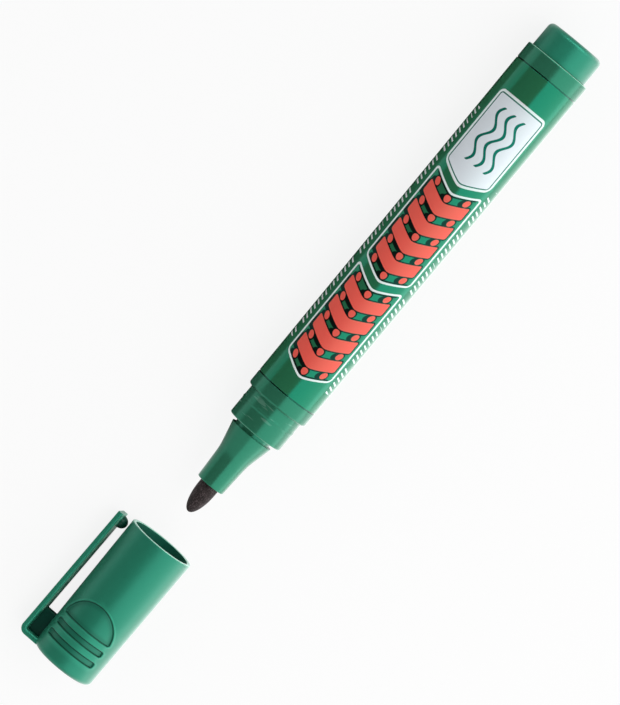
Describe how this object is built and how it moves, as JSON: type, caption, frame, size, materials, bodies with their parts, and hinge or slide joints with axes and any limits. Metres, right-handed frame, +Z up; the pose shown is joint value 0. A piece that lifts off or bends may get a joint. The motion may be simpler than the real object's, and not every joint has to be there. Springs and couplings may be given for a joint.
{
  "type": "permanent marker",
  "caption": "Bullet-tip permanent marker lying on its side, with its clipped cap pulled off in line with the nib; the cap slides home over the nozzle.",
  "frame": {"origin": "middle of the footprint of the marker and its pulled-off cap, on the ground", "axes": "+X from the tail to the nib along the marker's axis, +Z up; the clip points to -Y and slightly down, and rests on the ground"},
  "size_m": [0.1764, 0.0198, 0.0161],
  "materials": {
    "barrel_plastic": "gloss moulded green polypropylene",
    "printed_film": null,
    "cap_plastic": "satin, finely spark-eroded green polypropylene",
    "nib_felt": "bonded fibre soaked in dark ink",
    "reservoir_fibre": "polyester fibre soaked in ink",
    "clear_film": "thin wrapping film",
    "liner_plastic": "natural white polyethylene"
  },
  "bodies": {
    "barrel": {"barrel": "barrel_plastic", "label_sleeve": "printed_film", "nozzle": "barrel_plastic", "nib": "nib_felt", "ink_reservoir": "reservoir_fibre", "reservoir_film": "clear_film", "tail_plug": "cap_plastic"},
    "cap": {"cap_shell": "cap_plastic", "cap_liner": "liner_plastic"},
    "clip": {"clip_blade": "cap_plastic"}
  },
  "joints": [
    {"name": "cap_slide", "type": "slide", "parent": "barrel", "child": "cap", "axis": [-1, 0, 0], "range_m": [0, 0.0392]},
    {"name": "clip_flex", "type": "hinge", "parent": "cap", "child": "clip", "pos_m": [0.08057, -0.00862, 0.00234], "axis": [0, -0.4763, 0.8793], "range_deg": [0, 4], "stiffness_Nm_per_rad": 0.18}
  ]
}
